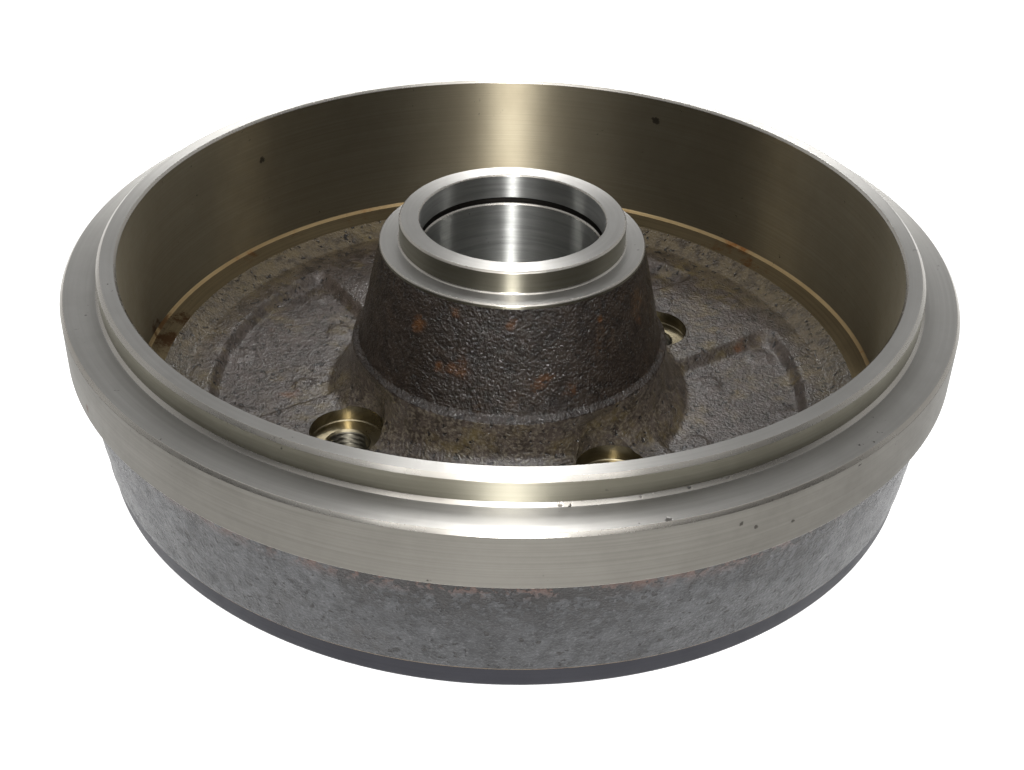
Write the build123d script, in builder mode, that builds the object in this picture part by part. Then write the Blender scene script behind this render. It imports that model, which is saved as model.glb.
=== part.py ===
# Brake drum with integral wheel hub: one grey iron casting, machined where things fit or rub.
# Millimetres, +Z up.  The axis of rotation is Z; the end of the hub nose is at Z = 0, the open
# side of the drum faces up and the wheel side faces down.
from build123d import *
import os

os.makedirs("parts", exist_ok=True)

# ---- sizes a brake or a wheel is matched to ----
friction_d = 200.0          # turned friction surface
friction_depth = 40.5       # lip top to the end of the friction surface
stud_circle_d = 100.0       # pitch circle of the wheel bolt holes
stud_count = 4
stud_hole_d = 10.5          # core of an M12 x 1.5 thread
stud_azimuth = 33.4         # first hole, counted from +X
pilot_d = 57.0              # hub nose, centres the wheel
pilot_height = 8.0          # nose beyond the wheel face
inner_seat_d = 47.0         # inner bearing seat
inner_seat_length = 20.0
outer_seat_d = 40.0         # outer bearing seat, open at the nose
outer_seat_length = 16.0
seal_seat_d = 48.0
seal_seat_depth = 6.7       # spigot top to the foot of the seal seat

# ---- drum body ----
drum_height = 55.5          # lip top to the cast underside
wheel_face_rise = 1.5       # wheel face proud of the cast underside
wheel_face_d = 146.0
lip_wall = 4.95             # friction surface to the outside of the lip
lip_height = 6.55
lip_outer_chamfer = 0.9
lip_inner_chamfer = 0.6
lip_foot_corner = 0.7
band_d = 228.6              # machined band, the largest diameter
band_height = 14.2
band_chamfer = 0.8
band_step = 2.8             # the rough wall stands back from the band
wall_foot_d = 216.6         # rough wall where it meets the machined foot
foot_height = 6.0           # machined cone at the bottom of the wall
foot_draft = 0.8            # the cone narrows by this much on its way down
foot_chamfer = 1.4

# ---- floor of the drum ----
floor_depth = 45.7          # lip top to the pads and the outer ring of the floor
ledge_chamfer = 0.8         # bright edge where the friction surface ends
ledge_inner_d = 189.8       # machined ledge round the floor
ledge_fall = 1.5            # the ledge slopes down towards the axis
slope_foot_d = 178.6        # foot of the rough slope below the ledge
pocket_d = 164.0            # outer edge of the four pockets
pocket_depth = 2.8
pocket_draft = 45.0
pocket_corner = 5.0
pad_width = 35.0            # straight pads that carry the bolt holes

# ---- hub ----
spigot_height = 4.1         # hub spigot above the lip top
spigot_d = 58.7
shoulder_d = 69.2
shoulder_drop = 6.15        # spigot top to the machined shoulder
shoulder_edge = 1.1         # machined edge of the shoulder
cone_foot_d = 81.4          # rough cone at its foot
base_top_d = 85.0           # base below the cone
base_top_depth = 31.4       # lip top to the narrow ledge on the base
base_waist_d = 88.0         # nearly upright down to here, then hollow to the floor
base_waist_depth = 42.0
base_foot_d = 102.0         # flare where it meets the pocket floor
edge_break = 0.5
seal_groove_d = 50.2
seal_groove_width = 1.5
grease_bore_d = 38.0        # between the two bearing seats
nose_chamfer = 1.5
nose_corner = 0.6           # rounding where the nose meets the wheel face

# ---- bolt holes ----
spotface_d = 19.7
spotface_depth = 3.7
recess_foot = 1.5           # pad to the foot of the recess over a spotface
recess_height = 9.0
recess_draft = 38.0

# ---- heights that follow ----
wheel_face_z = pilot_height
underside_z = wheel_face_z + wheel_face_rise
lip_z = underside_z + drum_height
flange_z = lip_z - lip_height
band_foot_z = flange_z - band_height
foot_z = underside_z + foot_height
friction_foot_z = lip_z - friction_depth
ledge_z = friction_foot_z - ledge_chamfer
floor_z = lip_z - floor_depth
pocket_z = floor_z - pocket_depth
spigot_z = lip_z + spigot_height
shoulder_z = spigot_z - shoulder_drop
base_top_z = lip_z - base_top_depth
seal_foot_z = spigot_z - seal_seat_depth
inner_seat_z = seal_foot_z - seal_groove_width
inner_seat_foot_z = inner_seat_z - inner_seat_length
spotface_z = floor_z - spotface_depth

friction_r = friction_d / 2
lip_r = friction_r + lip_wall
band_r = band_d / 2
foot_r = wall_foot_d / 2
underside_r = foot_r - foot_draft


def rims(radius, height):
    """Full round edges of that radius at that height."""
    return (
        brake_drum.edges()
        .filter_by(GeomType.CIRCLE)
        .filter_by(lambda edge: abs(edge.radius - radius) < 0.01)
        .filter_by(lambda edge: abs(edge.center(CenterOf.MASS).Z - height) < 0.01)
    )


with BuildPart() as brake_drum:
    # outside of the drum: foot, rough wall, machined band, lip
    with BuildSketch(Plane.XZ) as outside:
        with BuildLine():
            Polyline(
                (0, underside_z),
                (underside_r, underside_z),
                (foot_r, foot_z),
                (band_r - band_step, band_foot_z),
                (band_r, band_foot_z),
                (band_r, flange_z),
                (lip_r, flange_z),
                (lip_r, lip_z),
                (0, lip_z),
                close=True,
            )
        make_face()
    revolve(axis=Axis.Z)

    # inside of the drum: friction surface, ledge, rough slope, floor
    with BuildSketch(Plane.XZ) as cavity:
        with BuildLine():
            Polyline(
                (0, floor_z),
                (slope_foot_d / 2, floor_z),
                (ledge_inner_d / 2, ledge_z - ledge_fall),
                (friction_r - ledge_chamfer, ledge_z),
                (friction_r, friction_foot_z),
                (friction_r, lip_z),
                (0, lip_z),
                close=True,
            )
        make_face()
    revolve(axis=Axis.Z, mode=Mode.SUBTRACT)

    # four shallow pockets in the floor leave a straight pad under every bolt hole
    with BuildSketch(Plane.XY.offset(floor_z)) as pockets:
        Circle(pocket_d / 2)
        with PolarLocations(pocket_d / 4, stud_count, start_angle=stud_azimuth):
            Rectangle(pocket_d / 2 + pocket_corner, pad_width, mode=Mode.SUBTRACT)
        fillet(pockets.vertices(), pocket_corner)
    extrude(amount=-pocket_depth, taper=pocket_draft, mode=Mode.SUBTRACT)

    # hub: flared base, rough cone, machined shoulder and spigot
    with BuildSketch(Plane.XZ) as hub:
        with BuildLine():
            Polyline(
                (0, pocket_z),
                (base_foot_d / 2, pocket_z),
                (base_waist_d / 2, lip_z - base_waist_depth),
                (base_top_d / 2, base_top_z),
                (cone_foot_d / 2, base_top_z + 1.2),
                (shoulder_d / 2, shoulder_z - shoulder_edge),
                (shoulder_d / 2, shoulder_z),
                (spigot_d / 2, shoulder_z),
                (spigot_d / 2, spigot_z),
                (0, spigot_z),
                close=True,
            )
        make_face()
    revolve(axis=Axis.Z)

    # wheel side: the face that the wheel clamps against and the nose that centres it
    with BuildSketch(Plane.XY.offset(underside_z)) as wheel_face:
        Circle(wheel_face_d / 2 + wheel_face_rise)
    extrude(amount=-wheel_face_rise, taper=45)
    with BuildSketch(Plane.XY.offset(wheel_face_z)) as nose:
        Circle(pilot_d / 2)
    extrude(amount=-pilot_height)

    # bore of the hub: seal seat and inner bearing seat from above, outer seat from below
    with Locations((0, 0, spigot_z)):
        Hole(seal_seat_d / 2, seal_seat_depth)
    with Locations((0, 0, inner_seat_z)):
        CounterBoreHole(grease_bore_d / 2, inner_seat_d / 2, inner_seat_length)
    with BuildSketch(Plane.XY.offset(inner_seat_z)) as seal_groove:
        Circle(seal_groove_d / 2)
    extrude(amount=seal_groove_width, mode=Mode.SUBTRACT)
    with Locations((0, 0, 0)):
        Hole(outer_seat_d / 2, outer_seat_length)

    # bolt holes: a spotface inside the drum, a threaded hole through to the wheel face
    with Locations((0, 0, spotface_z)):
        with PolarLocations(stud_circle_d / 2, stud_count, start_angle=stud_azimuth):
            Hole(stud_hole_d / 2)
    with BuildSketch(Plane.XY.offset(spotface_z)) as spotfaces:
        with PolarLocations(stud_circle_d / 2, stud_count, start_angle=stud_azimuth):
            Circle(spotface_d / 2)
    extrude(amount=spotface_depth + recess_foot, mode=Mode.SUBTRACT)

    # a cast recess in the flare of the hub leans back over each spotface
    with BuildSketch(Plane.XY.offset(floor_z + recess_foot)) as recesses:
        with PolarLocations(stud_circle_d / 2, stud_count, start_angle=stud_azimuth):
            Circle(spotface_d / 2)
    extrude(amount=recess_height, taper=recess_draft, mode=Mode.SUBTRACT)

    # broken edges
    chamfer(rims(lip_r, lip_z), lip_outer_chamfer)
    chamfer(rims(friction_r, lip_z), lip_inner_chamfer)
    chamfer(rims(band_r, flange_z), band_chamfer)
    chamfer(rims(lip_r, flange_z), lip_foot_corner)
    chamfer(rims(underside_r, underside_z), foot_chamfer)
    chamfer(rims(spigot_d / 2, spigot_z), edge_break)
    chamfer(rims(shoulder_d / 2, shoulder_z), edge_break)
    chamfer(rims(seal_seat_d / 2, spigot_z), edge_break)
    chamfer(rims(outer_seat_d / 2, 0), edge_break)
    chamfer(rims(pilot_d / 2, 0), nose_chamfer)
    chamfer(rims(pilot_d / 2, wheel_face_z), nose_corner)

brake_drum.part.label = "brake_drum"
export_step(brake_drum.part, "parts/brake_drum.step")
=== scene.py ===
import math
import bpy
import bmesh
import numpy as np
from mathutils import Matrix, Vector, noise


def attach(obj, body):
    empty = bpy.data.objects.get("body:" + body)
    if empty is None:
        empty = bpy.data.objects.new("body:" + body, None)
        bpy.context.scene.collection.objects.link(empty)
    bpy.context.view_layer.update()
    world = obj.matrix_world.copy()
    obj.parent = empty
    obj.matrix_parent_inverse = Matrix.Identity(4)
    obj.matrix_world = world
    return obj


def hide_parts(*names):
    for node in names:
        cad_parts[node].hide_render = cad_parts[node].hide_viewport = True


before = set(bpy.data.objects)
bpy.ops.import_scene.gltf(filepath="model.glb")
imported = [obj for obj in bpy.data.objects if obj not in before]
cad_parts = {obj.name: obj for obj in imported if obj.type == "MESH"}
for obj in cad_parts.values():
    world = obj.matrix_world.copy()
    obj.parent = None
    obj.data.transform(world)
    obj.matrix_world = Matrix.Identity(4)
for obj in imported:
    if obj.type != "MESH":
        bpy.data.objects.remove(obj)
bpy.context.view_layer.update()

# Lengths are in millimetres and turn to metres where a mesh is made.
MM = 0.001
LIP_Z = 65.0          # top of the lip above the studio floor
BAND_R = 114.3
POCKET_DEPTH = 2.8    # pads to pocket floor
POCKET_R = 82.0
PAD_HALF = 17.5
BASE_R = 48.5         # foot of the hub on the drum floor
STUD_R = 50.0
STUD_AZIMUTH = 33.4
HOLLOW_DEPTH = 2.6    # the hub stands back over each bolt hole
HOLLOW_HALF = 8.5
MARK_HEIGHT = 0.5     # round casting marks on the floor
MARK_DISH = 0.22      # hollow in the middle of each mark
SKIN_FADE = 1.6       # the raw skin's lumps die away this near to a machined edge

MATERIALS = ["flat", "wall", "edge", "band", "friction", "ledge", "rust", "raw_wall", "foot",
             "raw_under", "raw_floor", "raw_hub", "bore", "groove", "drilled", "thread"]
# How far each raw skin is pushed in and out by its lumps.
RAW = {"raw_wall": 0.16, "raw_under": 0.12, "raw_floor": 0.07, "raw_hub": 0.15}


# ---------------------------------------------------------------- outline of the casting
# Each corner: radius, height, rounding, then the surface and the ring spacing of the run after it.
OUTLINE = [
    (103.95, 65.0, 0.1, "edge", 9),
    (104.95, 64.1, 0.25, "wall", 9),
    (104.95, 59.25, 0.15, "edge", 9),
    (105.75, 58.45, 0.2, "flat", 9),
    (113.5, 58.45, 0.2, "edge", 9),
    (114.3, 57.65, 0.2, "band", 4),
    (114.3, 44.6, 0.1, "edge", 9),
    (113.95, 44.25, 0.1, "rust", 9),
    (111.5, 44.25, 0.6, "raw_wall", 0.95),
    (108.35, 15.8, 0.15, "rust", 9),
    (108.1, 15.5, 0.1, "foot", 3),
    (107.5, 9.5, 1.5, "raw_under", 3.0),
    (75.0, 9.5, 0.6, "flat", 9),
    (73.0, 8.0, 0.3, "flat", 9),
    (28.5, 8.0, 0.6, "wall", 9),
    (28.5, 1.5, 0.3, "edge", 9),
    (27.0, 0.0, 0.3, "flat", 9),
    (20.5, 0.0, 0, "edge", 9),
    (20.0, 0.5, 0, "bore", 9),
    (20.0, 16.0, 0, "bore", 9),
    (19.0, 16.0, 0, "bore", 9),
    (19.0, 40.9, 0, "bore", 9),
    (23.5, 40.9, 0, "bore", 9),
    (23.5, 60.35, 0.1, "edge", 9),
    (24.0, 60.85, 0.1, "groove", 9),
    (25.1, 60.85, 0, "groove", 9),
    (25.1, 62.35, 0, "groove", 9),
    (24.0, 62.35, 0.1, "bore", 9),
    (24.0, 68.7, 0.1, "edge", 9),
    (24.4, 69.1, 0.1, "flat", 9),
    (28.85, 69.1, 0.1, "edge", 9),
    (29.35, 68.6, 0.15, "wall", 9),
    (29.35, 63.4, 0.15, "edge", 9),
    (29.8, 62.95, 0.15, "flat", 9),
    (34.2, 62.95, 0.1, "edge", 9),
    (34.6, 62.55, 0.12, "wall", 9),
    (34.6, 61.85, 0.3, "raw_hub", 0.95),
    (40.7, 34.8, 0.8, "raw_hub", 0.8),
    (42.5, 33.6, 1.0, "raw_floor", 0.8),
    (43.7, 24.0, 5.0, "raw_floor", 0.8),
    (47.6, 19.3, 3.0, "raw_floor", 0.8),
    (88.8, 19.3, 1.5, "raw_floor", 0.8),
    (94.5, 22.4, 0.7, "ledge", 9),
    (99.2, 23.9, 0.15, "rust", 9),
    (100.0, 24.7, 0.15, "friction", 3),
    (100.0, 64.3, 0.2, "edge", 9),
    (100.6, 65.0, 0.15, "flat", 9),
]
FINE, COARSE = 512, 256    # corners in a ring


def rounded(corners):
    """Walk the closed outline and lay an arc in each corner. Returns (r, z, surface) rings."""
    rings = []
    count = len(corners)
    points = [Vector((c[0], c[1])) for c in corners]
    cuts = []
    for i in range(count):
        before, here, after = points[i - 1], points[i], points[(i + 1) % count]
        a, b = (before - here), (after - here)
        half = a.angle(b) / 2
        reach = corners[i][2] / max(math.tan(half), 1e-6)
        reach = min(reach, 0.45 * a.length, 0.45 * b.length)
        cuts.append((here + a.normalized() * reach, here + b.normalized() * reach, reach))
    for i in range(count):
        start, end, reach = cuts[i]
        surface, step = corners[i][3], corners[i][4]
        previous = corners[i - 1][3]
        if reach < 1e-4:
            rings.append((start.x, start.y, surface))
        else:
            turns = 6 if reach > 2 else (3 if reach > 0.4 else (2 if reach > 0.14 else 1))
            for k in range(turns + 1):
                t = k / turns
                p = (1 - t) ** 2 * start + 2 * t * (1 - t) * points[i] + t * t * end
                soft = previous if (k < turns / 2 and corners[i][2] > 0.5) else surface
                rings.append((p.x, p.y, soft))
        after = cuts[(i + 1) % count][0]
        run = (after - end).length
        parts = max(1, round(run / step))
        for k in range(1, parts):
            p = end.lerp(after, k / parts)
            rings.append((p.x, p.y, surface))
    return rings


def ring_count(radius, surface):
    wide_floor = surface == "raw_floor" and radius > 48
    return FINE if surface == "raw_wall" or wide_floor else COARSE


# ---------------------------------------------------------------- the cast floor's relief
def smooth(low, high, value):
    """0 at low, 1 at high, eased at both ends."""
    t = np.clip((value - low) / (high - low), 0, 1)
    return t * t * (3 - 2 * t)


def soft_min(a, b, k):
    """The lesser of two, blended where they are within k."""
    h = np.clip(0.5 + 0.5 * (b - a) / k, 0, 1)
    return b * (1 - h) + a * h - k * h * (1 - h)


def pad_frame(x, y, k):
    """Places along and across pad number k."""
    angle = math.radians(STUD_AZIMUTH + 90 * k)
    return (x * math.cos(angle) + y * math.sin(angle), -x * math.sin(angle) + y * math.cos(angle))


def pocket_drop(x, y):
    """How far the four pockets lie below the pads."""
    radius = np.hypot(x, y)
    along, across = pad_frame(x, y, 0)
    beside = np.minimum(np.abs(along), np.abs(across)) - PAD_HALF
    inside = soft_min(POCKET_R - radius, beside, 4.0)
    inside = soft_min(inside, radius - BASE_R + 1.5, 2.0)
    return POCKET_DEPTH * smooth(-0.2, 2.8, inside)


def hollow(x, y, height):
    """How far the hub stands back over each bolt hole, where the cast recess is."""
    radius = np.hypot(x, y)
    deep = np.zeros_like(x)
    for k in range(4):
        along, across = pad_frame(x, y, k)
        deep = np.maximum(deep, np.exp(-(across / HOLLOW_HALF) ** 2) * (along > 0))
    return (HOLLOW_DEPTH * deep * smooth(35.5, 28.5, height)
            * (1 - smooth(46.0, 53.0, radius)))


def marks():
    """Radius and azimuth of each casting mark: one on every pad, five in every pocket."""
    places = []
    for k in range(4):
        pad = STUD_AZIMUTH + 90 * k
        places.append((79.0, pad))
        for radius, turn in ((56.0, -15), (56.0, 15), (74.0, -25.5), (77.5, 3), (74.0, 25.5)):
            places.append((radius, pad + 45 + turn))
    return places


def mark_rise(x, y):
    """How far the casting marks stand up from the floor."""
    rise = np.zeros_like(x)
    for radius, azimuth in marks():
        turn = math.radians(azimuth)
        away = np.hypot(x - radius * math.cos(turn), y - radius * math.sin(turn))
        rise += (MARK_HEIGHT * (1 - smooth(2.8, 3.7, away))
                 - MARK_DISH * np.exp(-((away - 1.2) / 1.3) ** 2))
    return rise


def grain(points, scale, seed):
    """Fractal noise at each point, about -1 to 1."""
    out = np.empty(len(points))
    shift = Vector((seed * 13.7, seed * 5.1, seed * 9.3))
    for i, p in enumerate(points):
        out[i] = noise.fractal(Vector(p) * scale + shift, 0.7, 2.1, 4)
    return out


def skin_share(names, arc):
    """How much of the raw skin's relief each ring has: none at a machined edge, all inside."""
    total = len(names)
    share = np.zeros(total)
    for i in range(total):
        if names[i] not in RAW:
            continue
        nearest = 2 * SKIN_FADE
        for way in (1, -1):
            reach, j = 0.0, i
            while names[j % total] in RAW and reach < nearest:
                reach += arc[j % total if way > 0 else (j - 1) % total]
                j += way
            nearest = min(nearest, reach)
        share[i] = min(nearest / SKIN_FADE, 1.0)
    return share


def fan(fine, coarse, turned_over):
    """Triangles between a fine ring and one with half as many corners, from their indices."""
    faces = []
    for k in range(COARSE):
        n = (k + 1) % COARSE
        first, middle, last = fine + 2 * k, fine + 2 * k + 1, fine + (2 * k + 2) % FINE
        faces += [[first, coarse + k, middle], [middle, coarse + n, last],
                  [coarse + k, coarse + n, middle]]
    return [[p, r, q] for p, q, r in faces] if turned_over else faces


def build_body():
    """The whole casting as one closed turned mesh with the raw skin and the floor's relief."""
    rings = rounded(OUTLINE)
    total = len(rings)
    profile = np.array([(r, z) for r, z, _ in rings])
    names = [surface for _, _, surface in rings]
    tangent = np.roll(profile, -1, 0) - np.roll(profile, 1, 0)
    normal = np.stack([-tangent[:, 1], tangent[:, 0]], 1)
    normal /= np.linalg.norm(normal, axis=1)[:, None]
    arc = np.linalg.norm(np.roll(profile, -1, 0) - profile, axis=1)
    share = skin_share(names, arc)
    verts, starts, counts = [], [], []
    for i, (r, z, surface) in enumerate(rings):
        count = ring_count(r, surface)
        angle = np.arange(count) * 2 * math.pi / count
        x, y = r * np.cos(angle), r * np.sin(angle)
        height = np.full(count, z)
        if surface in ("raw_floor", "raw_hub"):
            back = 1 - hollow(x, y, height) / r
            x, y = x * back, y * back
        if surface == "raw_floor" and 45 < r < 90:
            height = height - pocket_drop(x, y) + mark_rise(x, y) * (r > 52)
        if share[i] > 0:
            points = np.stack([x, y, height], 1)
            lumps = grain(points, 0.16, 1) * 0.9 + grain(points, 0.55, 2) * 0.75
            if surface == "raw_wall":
                lumps = lumps - 1.5 * np.clip(grain(points, 0.38, 3) - 0.45, 0, 1)
            push = RAW[surface] * lumps * share[i]
            x = x + normal[i, 0] * push * np.cos(angle)
            y = y + normal[i, 0] * push * np.sin(angle)
            height = height + normal[i, 1] * push
        verts.append(np.stack([x, y, height], 1))
        starts.append(sum(counts))
        counts.append(count)
    faces, slots = [], []
    for i in range(total):
        j = (i + 1) % total
        a, b = starts[i], starts[j]
        if counts[i] == counts[j]:
            k = np.arange(counts[i])
            n = (k + 1) % counts[i]
            strip = np.stack([a + k, b + k, b + n, a + n], 1).tolist()
        elif counts[i] > counts[j]:
            strip = fan(a, b, False)
        else:
            strip = fan(b, a, True)
        faces += strip
        slots += [MATERIALS.index(names[i])] * len(strip)
    mesh = bpy.data.meshes.new("drum_body")
    mesh.from_pydata((np.concatenate(verts) * MM).tolist(), [], faces)
    mesh.polygons.foreach_set("material_index", slots)
    mesh.update()
    return mesh


def build_cutters():
    """Spotface, cast recess above it and threaded hole, four times, as closed solids."""
    # M12 x 1.5 thread: pitch, then radius at the core, the crest and the broken edges
    pitch, core, crest, mouth = 1.5, 5.25, 6.0, 6.3
    # heights: wheel face, lowest and highest ring of the thread, top of the drilled wall
    face_z, low, high, wall_top = 8.0, 6.9, 15.6, 20.3
    spotface, sides = 9.85, 60
    thread_slot, drilled, rough = (MATERIALS.index(name) for name in
                                   ("thread", "drilled", "raw_floor"))
    bm = bmesh.new()

    def thread(height, s):
        ridge = abs((height / pitch - s / sides) % 1.0 - 0.5) * 2
        cut = core + (crest - core) * min(1.0, max(0.0, 1.25 * ridge - 0.12))
        return max(cut, mouth - (high - height), mouth - (height - face_z))

    def ring(cx, cy, height, radius=None):
        """One ring of corners, on the thread where no radius is given."""
        verts = []
        for s in range(sides):
            angle = 2 * math.pi * s / sides
            r = thread(height, s) if radius is None else radius
            verts.append(bm.verts.new(((cx + r * math.cos(angle)) * MM,
                                       (cy + r * math.sin(angle)) * MM, height * MM)))
        return verts

    for k in range(4):
        angle = math.radians(STUD_AZIMUTH + 90 * k)
        cx, cy = STUD_R * math.cos(angle), STUD_R * math.sin(angle)
        rings = [ring(cx, cy, height) for height in np.arange(low, high + 0.01, 0.25)]
        for radius, height in ((9.6, high), (spotface, high + 0.25), (spotface, wall_top),
                               (spotface, 26.0), (8.6, 28.0), (5.0, 30.0)):
            rings.append(ring(cx, cy, height, radius))
        for lower, upper in zip(rings[:-1], rings[1:]):
            for s in range(sides):
                t = (s + 1) % sides
                face = bm.faces.new((lower[s], lower[t], upper[t], upper[s]))
                level = lower[s].co.z / MM
                face.material_index = (thread_slot if level < high - 0.8 else
                                       drilled if level < wall_top - 0.1 else rough)
        bm.faces.new(list(reversed(rings[0]))).material_index = thread_slot
        bm.faces.new(rings[-1]).material_index = rough
    mesh = bpy.data.meshes.new("holes")
    bm.to_mesh(mesh)
    bm.free()
    return mesh


def join_cut(body_mesh, cutter_mesh):
    """Cut the holes out of the body and give it soft flats and crisp edges."""
    body = bpy.data.objects.new("drum_casting", body_mesh)
    cutter = bpy.data.objects.new("hole_cutter", cutter_mesh)
    for item in (body, cutter):
        bpy.context.scene.collection.objects.link(item)
        for name in MATERIALS:
            item.data.materials.append(materials[name])
    cut = body.modifiers.new("holes", "BOOLEAN")
    cut.object = cutter
    cut.operation = "DIFFERENCE"
    cut.solver = "EXACT"
    cut.material_mode = "INDEX"
    graph = bpy.context.evaluated_depsgraph_get()
    result = bpy.data.meshes.new_from_object(body.evaluated_get(graph))
    body.modifiers.clear()
    body.data = result
    bpy.data.objects.remove(cutter)
    bm = bmesh.new()
    bm.from_mesh(result)
    bmesh.ops.remove_doubles(bm, verts=bm.verts, dist=2e-6)
    bmesh.ops.dissolve_degenerate(bm, edges=bm.edges, dist=1e-6)
    bmesh.ops.recalc_face_normals(bm, faces=bm.faces)
    for face in bm.faces:
        face.smooth = True
    bm.to_mesh(result)
    bm.free()
    result.set_sharp_from_angle(angle=math.radians(38))
    even = body.modifiers.new("even_normals", "WEIGHTED_NORMAL")
    even.keep_sharp = True
    return body


# ---------------------------------------------------------------- materials
class Nodes:
    """Shorthand for one material's nodes; lengths inside are millimetres."""

    def __init__(self, name):
        self.material = bpy.data.materials.new(name)
        self.material.use_nodes = True
        self.tree = self.material.node_tree
        self.shader = self.tree.nodes["Principled BSDF"]
        place = self.make("ShaderNodeTexCoord")
        self.mm = self.vector("SCALE", place.outputs["Object"], scale=1000)
        parts = self.make("ShaderNodeSeparateXYZ")
        self.link(self.mm, parts.inputs[0])
        x, y, self.z = parts.outputs
        flat = self.make("ShaderNodeCombineXYZ")
        self.link(x, flat.inputs[0])
        self.link(y, flat.inputs[1])
        self.flat = flat.outputs[0]
        self.radius = self.vector("LENGTH", self.flat)

    def make(self, kind):
        return self.tree.nodes.new(kind)

    def link(self, source, target):
        self.tree.links.new(source, target)

    def feed(self, value, target):
        """Set a plain number or colour on the socket itself, and link anything else."""
        if isinstance(value, (int, float)):
            target.default_value = value
        elif isinstance(value, tuple):
            target.default_value = (*value, 1.0) if len(target.default_value) == 4 else value
        else:
            self.link(value, target)

    def vector(self, operation, a, b=None, scale=None):
        node = self.make("ShaderNodeVectorMath")
        node.operation = operation
        self.feed(a, node.inputs[0])
        if b is not None:
            self.feed(b, node.inputs[1])
        if scale is not None:
            node.inputs["Scale"].default_value = scale
        return node.outputs["Value" if operation in ("LENGTH", "DISTANCE") else "Vector"]

    def math(self, operation, a, b=0.0, c=0.0):
        node = self.make("ShaderNodeMath")
        node.operation = operation
        for value, target in zip((a, b, c), node.inputs):
            self.feed(value, target)
        return node.outputs[0]

    def noise(self, size, detail=4.0, rough=0.55, where=None, shift=0.0):
        """Noise whose largest lumps are about that many millimetres across."""
        node = self.make("ShaderNodeTexNoise")
        node.noise_dimensions = "4D"
        self.link(where or self.mm, node.inputs["Vector"])
        node.inputs["W"].default_value = shift
        node.inputs["Scale"].default_value = 1.0 / size
        node.inputs["Detail"].default_value = detail
        node.inputs["Roughness"].default_value = rough
        return node.outputs["Fac"]

    def turning(self, pitch, shift=0.0, detail=5.0):
        """Lines that run round the axis, as a cutting tool leaves them."""
        ring = self.make("ShaderNodeCombineXYZ")
        parts = self.make("ShaderNodeSeparateXYZ")
        self.link(self.vector("NORMALIZE", self.flat), parts.inputs[0])
        self.link(parts.outputs[0], ring.inputs[0])
        self.link(parts.outputs[1], ring.inputs[1])
        along = self.math("MULTIPLY", self.z, 1.0 / pitch)
        self.link(self.math("MULTIPLY_ADD", self.radius, 1.0 / pitch, along), ring.inputs[2])
        return self.noise(1.0, detail, 0.65, ring.outputs[0], shift)

    def ramp(self, value, low, high, start=0.0, end=1.0):
        """Start at low, end at high, eased between."""
        node = self.make("ShaderNodeMapRange")
        node.interpolation_type = "SMOOTHSTEP"
        self.feed(value, node.inputs["Value"])
        for name, number in zip(("From Min", "From Max", "To Min", "To Max"),
                                (low, high, start, end)):
            node.inputs[name].default_value = number
        return node.outputs["Result"]

    def mix(self, share, a, b):
        node = self.make("ShaderNodeMix")
        node.data_type = "RGBA"
        self.feed(share, node.inputs["Factor"])
        # the colour sockets, which share their names with the number and vector ones
        self.feed(a, node.inputs[6])
        self.feed(b, node.inputs[7])
        return node.outputs[2]

    def patches(self, places, edge=0.5):
        """Patches with ragged outlines at those places; each is x, y, z, size. 1 inside."""
        ragged = self.noise(4.0, 6, 0.75, shift=31.0)
        most = 0.0
        for x, y, z, size in places:
            away = self.vector("DISTANCE", self.mm, (x, y, z))
            away = self.math("MULTIPLY_ADD", ragged, size * 5.0,
                             self.math("SUBTRACT", away, size * 2.4))
            most = self.math("MAXIMUM", most, self.ramp(away, size, size * edge))
        return most

    def bump(self, height, distance, strength=1.0, under=None):
        """Bump of that depth in millimetres, laid over another where one is given."""
        node = self.make("ShaderNodeBump")
        node.inputs["Strength"].default_value = strength
        node.inputs["Distance"].default_value = distance * MM
        self.link(height, node.inputs["Height"])
        if under is not None:
            self.link(under, node.inputs["Normal"])
        return node.outputs["Normal"]

    def finish(self, colour, roughness, normal, metallic, anisotropic=0.0):
        shader = self.shader
        self.feed(colour, shader.inputs["Base Color"])
        self.feed(roughness, shader.inputs["Roughness"])
        self.feed(metallic, shader.inputs["Metallic"])
        self.link(normal, shader.inputs["Normal"])
        if anisotropic:
            shader.inputs["Anisotropic"].default_value = anisotropic
            shader.inputs["Anisotropic Rotation"].default_value = 0.25
            tangent = self.make("ShaderNodeTangent")
            tangent.direction_type = "RADIAL"
            tangent.axis = "Z"
            self.link(tangent.outputs[0], shader.inputs["Tangent"])
        return self.material


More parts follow.
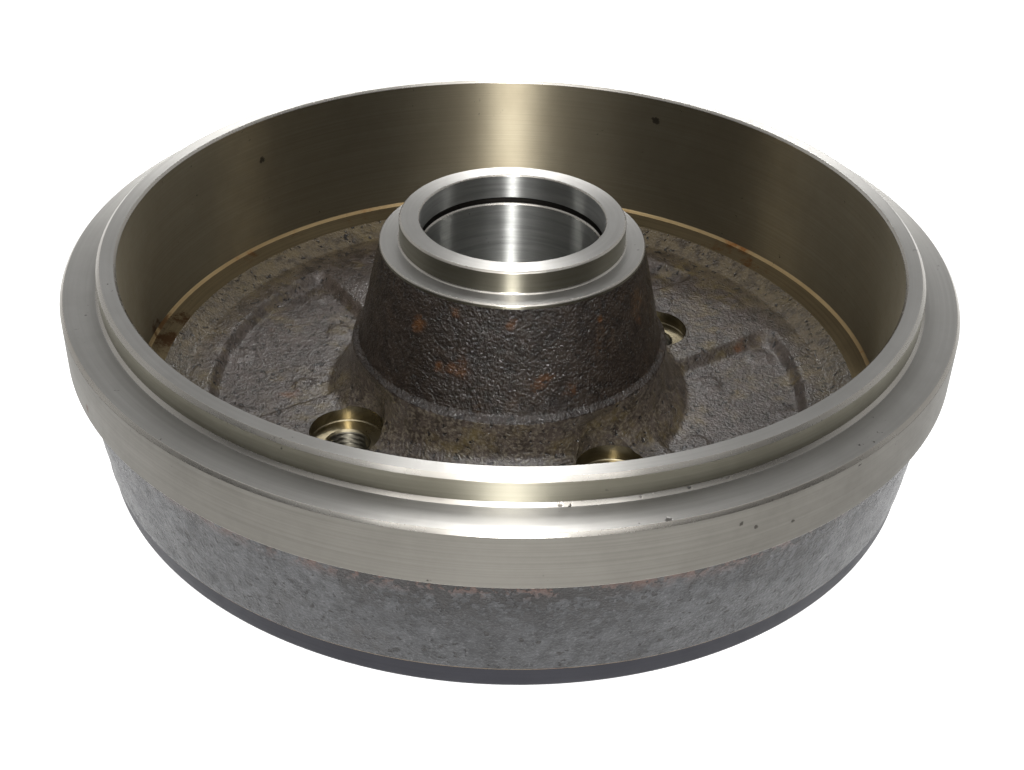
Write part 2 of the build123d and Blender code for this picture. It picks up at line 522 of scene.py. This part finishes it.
def turned(name, light, dark, rough=0.43, aniso=1.0, pitch=0.9, depth=0.012, cloud=0.35,
           stain=None, rusty=(), nicks=()):
    """Lathe-turned iron: rings of tool marks, stretched highlights, dirt, rust and nicks.

    Pitch is the spacing of the tool marks and depth their bump; cloud is how much of the dark
    colour lies in broad clouds.
    """
    n = Nodes(name)
    rings = n.turning(pitch)
    fine = n.turning(pitch * 0.3, 3.0)
    blotch = n.noise(30, 5, 0.6, shift=1.5)
    small = n.noise(2.5, 5, 0.65, shift=4.0)
    colour = n.mix(n.ramp(blotch, 0.36, 0.66, 0.0, cloud), light, dark)
    colour = n.mix(n.ramp(rings, 0.32, 0.72, 0.0, 0.55), colour, dark)
    if stain:
        where = n.math("MULTIPLY", n.ramp(n.noise(14, 6, 0.7, shift=7.0), 0.54, 0.68), 0.85)
        colour = n.mix(where, colour, stain)
    dirt = n.math("MULTIPLY", n.ramp(n.noise(1.6, 3, 0.6, shift=21.0), 0.66, 0.74),
                  n.ramp(n.noise(25, 3, 0.6, shift=23.0), 0.52, 0.62, 0.0, 0.8))
    colour = n.mix(dirt, colour, (0.03, 0.027, 0.024))
    gloss = n.math("ADD", n.ramp(blotch, 0.3, 0.7, rough - 0.03, rough + 0.03),
                   n.ramp(small, 0.4, 0.7, -0.02, 0.02))
    if rusty:
        colour = n.mix(n.math("MULTIPLY", n.patches(rusty, 0.2), 0.85), colour, RUST)
    if nicks:
        dirt = n.math("MAXIMUM", dirt, n.math("MULTIPLY", n.patches(nicks), 0.75))
        colour = n.mix(dirt, colour, (0.03, 0.024, 0.02))
    normal = n.bump(rings, depth)
    normal = n.bump(fine, depth * 0.5, under=normal)
    normal = n.bump(dirt, -0.05, 0.6, normal)
    return n.finish(colour, gloss, normal, 1.0, aniso)


def raw(name, colours, tint, tint_cut, gloss, grit=1.0, coat=0.0, grain=0.8, fringe=0.0,
        rusty=(), floor=False):
    """Raw cast iron: gritty skin with dark pits, a film of oil and some thin rust.

    Colours are dark, middle and pale. The tint lies where noise passes tint_cut, gloss is the
    least and most roughness, grain the size of the grit and grit how deep its bumps are.
    """
    n = Nodes(name)
    dark, middle, pale = colours
    lumps = n.noise(3.0, 5, 0.7, shift=2.0)
    grains = n.noise(grain, 3, 0.6, shift=5.0)
    patch = n.noise(17, 5, 0.6, shift=9.0)
    colour = n.mix(n.ramp(lumps, 0.38, 0.60), dark, middle)
    colour = n.mix(n.ramp(n.noise(26, 4, 0.6, shift=25.0), 0.38, 0.62, 0.0, 0.35), colour, dark)
    colour = n.mix(n.ramp(grains, 0.52, 0.74, 0.0, 0.5), colour, pale)
    tinted = n.math("MULTIPLY", n.ramp(patch, tint_cut, tint_cut + 0.14),
                    n.ramp(n.noise(5, 5, 0.7, shift=15.0), 0.42, 0.64, 0.0, 0.7))
    colour = n.mix(tinted, colour, tint)
    if floor:
        # painted light: olive bounce light from the friction wall towards the ledge, and paler
        # grains at the foot of the hub as a painted sheen on its fillets
        painted_bounce_light = n.math("MULTIPLY", n.ramp(n.radius, 80.0, 92.0, 0.0, 0.7),
                     n.ramp(lumps, 0.36, 0.60, 0.2, 1.0))
        colour = n.mix(painted_bounce_light, colour, (0.105, 0.082, 0.045))
        # painted sheen on the fillets at the foot of the hub
        foot = n.math("MULTIPLY", n.ramp(n.radius, 56.0, 46.0, 0.0, 0.5),
                      n.ramp(grains, 0.46, 0.62))
        colour = n.mix(foot, colour, (0.13, 0.11, 0.08))
    if rusty:
        colour = n.mix(n.math("MULTIPLY", n.patches(rusty, 0.1), 0.75), colour, RUST)
    pits = n.ramp(n.noise(1.7, 3, 0.5, shift=12.0), 0.40, 0.33)
    if fringe:
        # reddish fringe, and clusters of deep pits on the upper wall, real pits darkened there as
        # painted shade under the machined band
        band = n.math("MULTIPLY", n.ramp(n.z, 24.0, 40.0),
                      n.ramp(n.noise(24, 3, shift=14.0), 0.38, 0.50))
        deep = n.math("MULTIPLY", band, n.ramp(n.noise(1.8, 4, 0.6, shift=17.0), 0.46, 0.51))
        reddish = n.math("MULTIPLY", n.ramp(n.z, 37.0, 43.0, 0.0, fringe),
                         n.ramp(n.noise(6, 5, 0.7, shift=18.0), 0.42, 0.52))
        colour = n.mix(reddish, colour, (0.10, 0.045, 0.028))
        pits = n.math("MAXIMUM", pits, deep)
    colour = n.mix(pits, colour, (0.012, 0.010, 0.009))
    roughness = n.ramp(n.noise(9, 4, shift=20.0), 0.35, 0.65, *gloss)
    normal = n.bump(lumps, 0.14 * grit)
    normal = n.bump(grains, 0.5 * grit * grain, under=normal)
    normal = n.bump(pits, -0.25, 0.8, normal)
    n.shader.inputs["Specular IOR Level"].default_value = 0.25
    if coat:
        weight = n.ramp(n.radius, 44.0, 60.0, 1.0, coat) if floor else coat
        n.feed(weight, n.shader.inputs["Coat Weight"])
        n.shader.inputs["Coat Roughness"].default_value = 0.13
        n.link(normal, n.shader.inputs["Coat Normal"])
    return n.finish(colour, roughness, normal, metallic=0.0)


OIL = (0.10, 0.075, 0.03)
RUST = (0.080, 0.030, 0.007)
# Each place of rust or a nick is x, y, z and size.
materials = {
    "flat": turned("turned_flat", (0.44, 0.43, 0.41), (0.33, 0.32, 0.30), 0.38, aniso=0.95,
                   pitch=1.2, cloud=0.5,
                   nicks=((32.9, -108.2, 58.5, 0.9), (27.0, -109.5, 58.5, 0.5))),
    # the upright turned faces are coloured darker and more olive than the flats: painted shade
    "wall": turned("turned_wall_painted_shade", (0.30, 0.285, 0.23), (0.20, 0.185, 0.14)),
    # the chamfers and roundings are coloured lighter than the flats: painted highlight along the
    # edges
    "edge": turned("turned_edge_painted_highlight", (0.50, 0.48, 0.44), (0.34, 0.31, 0.27), 0.28, aniso=0.7,
                   nicks=((11.4, -104.9, 58.8, 0.6), (27.7, -101.5, 58.8, 0.7),
                          (38.0, -98.0, 58.8, 0.6), (46.3, -94.5, 58.8, 0.8))),
    # the circlip groove is coloured near black: painted shade inside the groove
    "groove": turned("turned_groove_painted_shade", (0.05, 0.045, 0.04), (0.03, 0.028, 0.025), 0.5,
                     aniso=0.5),
    "band": turned("turned_band", (0.21, 0.20, 0.178), (0.145, 0.137, 0.12), 0.56, aniso=0.6,
                   pitch=0.6, rusty=((-96.8, -60.8, 47.5, 1.6),),
                   nicks=((48.6, -103.4, 54.3, 0.7), (52.0, -101.8, 52.0, 0.5),
                          (60.5, -97.0, 50.0, 0.6))),
    "friction": turned("friction_surface", (0.34, 0.30, 0.215), (0.24, 0.205, 0.14), 0.45,
                       pitch=0.5, depth=0.010, cloud=0.6,
                       rusty=((-98.5, 10.0, 24.0, 5.0), (-98.5, -3.0, 23.0, 4.0)),
                       nicks=((-76.3, 64.7, 52.0, 1.3), (43.6, 90.0, 57.5, 1.2))),
    "ledge": turned("turned_ledge", (0.30, 0.24, 0.14), (0.13, 0.095, 0.055), 0.36,
                    stain=(0.18, 0.075, 0.02),
                    rusty=((-93.0, 19.0, 23.0, 6.0), (-96.0, 8.0, 23.0, 6.0),
                           (-95.0, -5.0, 23.0, 5.0))),
    "rust": turned("rusty_edge", (0.50, 0.38, 0.20), (0.28, 0.17, 0.08), 0.34, aniso=0.6,
                   stain=(0.30, 0.10, 0.02),
                   rusty=((-98.0, 14.0, 24.0, 8.0), (-99.0, -4.0, 24.0, 8.0))),
    # the turned foot under the drum is coloured near black: painted shade on the downward face
    "foot": turned("turned_foot_painted_shade", (0.050, 0.050, 0.058), (0.034, 0.034, 0.040), 0.5,
                   aniso=0.6, pitch=0.8),
    "bore": turned("ground_bore", (0.48, 0.48, 0.46), (0.22, 0.22, 0.21), 0.40, pitch=1.3,
                   depth=0.02),
    "drilled": turned("drilled_hole", (0.30, 0.26, 0.175), (0.12, 0.10, 0.06), 0.30,
                      aniso=0.4),
    # the cut thread is oily iron, coloured darker still as painted shade deep in the bolt holes
    "thread": turned("cut_thread_painted_shade", (0.13, 0.12, 0.095), (0.05, 0.045, 0.035), 0.36,
                     aniso=0.0),
    "raw_wall": raw("cast_outside",
                    ((0.019, 0.019, 0.020), (0.054, 0.055, 0.058), (0.15, 0.15, 0.155)),
                    tint=(0.03, 0.025, 0.022), tint_cut=0.55, gloss=(0.36, 0.46), grit=1.2,
                    coat=0.3, grain=0.7, fringe=0.8),
    "raw_under": raw("cast_underside",
                     ((0.035, 0.035, 0.035), (0.09, 0.09, 0.09), (0.2, 0.2, 0.2)),
                     tint=(0.08, 0.05, 0.035), tint_cut=0.60, gloss=(0.45, 0.6)),
    "raw_floor": raw("cast_floor",
                     ((0.024, 0.018, 0.014), (0.059, 0.046, 0.039), (0.13, 0.11, 0.095)),
                     tint=OIL, tint_cut=0.46, gloss=(0.30, 0.42), coat=0.7, floor=True,
                     rusty=((-69.0, 25.0, 19.0, 3.5), (-60.0, -8.0, 17.0, 3.0),
                            (66.0, 22.0, 17.0, 3.0))),
    "raw_hub": raw("cast_hub",
                   ((0.008, 0.005, 0.004), (0.022, 0.015, 0.011), (0.07, 0.058, 0.048)),
                   tint=(0.06, 0.032, 0.014), tint_cut=0.52, gloss=(0.34, 0.46), grit=1.7,
                   coat=0.9,
                   rusty=((-22.6, -28.6, 53.6, 2.6), (-12.8, -32.4, 59.5, 1.4),
                          (0.4, -35.3, 58.0, 1.5), (22.3, -28.3, 55.8, 1.4),
                          (-17.7, -34.2, 44.7, 2.0), (-12.6, -36.3, 44.8, 4.0),
                          (8.6, -37.5, 43.5, 4.0), (16.5, -36.0, 39.7, 3.2),
                          (33.5, -18.0, 50.0, 2.2))),
}

# ---------------------------------------------------------------- the casting
casting = join_cut(build_body(), build_cutters())
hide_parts("brake_drum")
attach(casting, "root")


# ---------------------------------------------------------------- studio
FLOOR_GLOW = 0.55     # added to the floor for the camera and in reflections
SOFT_LIGHT = 0.34     # what the room gives to surfaces that aren't mirrors
IMAGE_WIDTH, FOCAL_PIXELS = 1024, 1432.45


def add_lamp(name, size, power, place, aim, tall=None):
    """Area lamp in metres and watts, square unless it has a height of its own."""
    lamp = bpy.data.lights.new(name, "AREA")
    lamp.shape = "RECTANGLE" if tall else "SQUARE"
    lamp.size = size
    if tall:
        lamp.size_y = tall
    lamp.energy = power
    item = bpy.data.objects.new(name, lamp)
    item.location = place
    item.rotation_euler = (Vector(aim) - Vector(place)).to_track_quat("-Z", "Y").to_euler()
    bpy.context.scene.collection.objects.link(item)


def make_floor():
    """Plain pale floor that keeps the drum's shadow."""
    mesh = bpy.data.meshes.new("studio_floor")
    mesh.from_pydata([(-6, -6, 0), (6, -6, 0), (6, 6, 0), (-6, 6, 0)], [], [(0, 1, 2, 3)])
    item = bpy.data.objects.new("studio_floor", mesh)
    bpy.context.scene.collection.objects.link(item)
    material = bpy.data.materials.new("studio_floor")
    material.use_nodes = True
    tree = material.node_tree
    shader = tree.nodes["Principled BSDF"]
    shader.inputs["Base Color"].default_value = (0.9, 0.9, 0.9, 1)
    shader.inputs["Roughness"].default_value = 0.9
    shader.inputs["Specular IOR Level"].default_value = 0.1
    glow = tree.nodes.new("ShaderNodeEmission")
    path = tree.nodes.new("ShaderNodeLightPath")
    either = tree.nodes.new("ShaderNodeMath")
    either.operation = "MAXIMUM"
    tree.links.new(path.outputs["Is Camera Ray"], either.inputs[0])
    tree.links.new(path.outputs["Is Glossy Ray"], either.inputs[1])
    seen = tree.nodes.new("ShaderNodeMath")
    seen.operation = "MULTIPLY"
    seen.inputs[1].default_value = FLOOR_GLOW
    tree.links.new(either.outputs[0], seen.inputs[0])
    tree.links.new(seen.outputs[0], glow.inputs["Strength"])
    both = tree.nodes.new("ShaderNodeAddShader")
    tree.links.new(shader.outputs[0], both.inputs[0])
    tree.links.new(glow.outputs[0], both.inputs[1])
    tree.links.new(both.outputs[0], tree.nodes["Material Output"].inputs["Surface"])
    mesh.materials.append(material)


def make_world():
    """White to the camera; metal sees a pale backdrop and ceiling in a dark room."""
    world = bpy.data.worlds.new("studio")
    bpy.context.scene.world = world
    world.use_nodes = True
    tree = world.node_tree
    background = tree.nodes["Background"]
    background.inputs["Color"].default_value = (1, 1, 1, 1)
    place = tree.nodes.new("ShaderNodeTexCoord")
    parts = tree.nodes.new("ShaderNodeSeparateXYZ")
    tree.links.new(place.outputs["Generated"], parts.inputs[0])
    path = tree.nodes.new("ShaderNodeLightPath")

    def span(source, low, high, start, end):
        node = tree.nodes.new("ShaderNodeMapRange")
        node.interpolation_type = "SMOOTHSTEP"
        tree.links.new(source, node.inputs["Value"])
        for name, number in zip(("From Min", "From Max", "To Min", "To Max"),
                                (low, high, start, end)):
            node.inputs[name].default_value = number
        return node.outputs["Result"]

    def join(operation, a, b):
        node = tree.nodes.new("ShaderNodeMath")
        node.operation = operation
        for value, target in zip((a, b), node.inputs):
            if isinstance(value, float):
                target.default_value = value
            else:
                tree.links.new(value, target)
        return node.outputs[0]

    backdrop = join("MULTIPLY", span(parts.outputs["Y"], -0.3, 0.3, 0.08, 0.55),
                    span(parts.outputs["Z"], 0.60, 0.80, 1.0, 0.2))
    ceiling = join("MULTIPLY", span(parts.outputs["Z"], 0.58, 0.78, 0.0, 0.7),
                   span(parts.outputs["Z"], 0.90, 0.98, 1.0, 0.2))
    glossy = join("MULTIPLY", join("MAXIMUM", backdrop, ceiling), path.outputs["Is Glossy Ray"])
    soft = join("MULTIPLY", path.outputs["Is Diffuse Ray"], SOFT_LIGHT)
    level = join("MAXIMUM", join("ADD", glossy, soft), path.outputs["Is Camera Ray"])
    tree.links.new(level, background.inputs["Strength"])


def make_camera():
    """The photograph's camera, 34.2 degrees down and rolled 1.6 degrees."""
    pitch, roll = 0.5962395, 0.0282908
    unit = BAND_R * MM
    # middle of the lip's plane as the camera sees it: right, ahead, up, in band radii
    offset = Vector((-0.0089584, 3.2485665, 0.3511496)) * unit
    ahead = Vector((0, math.cos(pitch), -math.sin(pitch)))
    over = Vector((0, math.sin(pitch), math.cos(pitch)))
    side = Vector((1, 0, 0))
    centre = -(side * offset.x + ahead * offset.y + over * offset.z) + Vector((0, 0, LIP_Z * MM))
    right = side * math.cos(roll) + over * math.sin(roll)
    up = over * math.cos(roll) - side * math.sin(roll)
    lens = bpy.data.cameras.new("camera")
    lens.sensor_width = 36.0
    lens.lens = FOCAL_PIXELS / IMAGE_WIDTH * lens.sensor_width
    lens.clip_start = 0.01
    item = bpy.data.objects.new("camera", lens)
    turn = Matrix((right, up, -ahead)).transposed().to_4x4()
    item.matrix_world = Matrix.Translation(centre) @ turn
    bpy.context.scene.collection.objects.link(item)
    bpy.context.scene.camera = item


make_floor()
make_world()
make_camera()
add_lamp("key", 0.12, 8.0, (0.02, -0.80, 0.62), (0, 0, 0.03))
add_lamp("over", 0.85, 2.5, (0.0, -0.50, 0.95), (0, 0, 0.03), 0.45)
add_lamp("back", 0.22, 2.2, (0.0, 0.58, 0.78), (0, 0, 0.05), 0.45)
add_lamp("spark", 0.06, 0.7, (0.0, 0.66, 0.72), (0, 0, 0.03))

scene = bpy.context.scene
scene.view_settings.view_transform = "Standard"
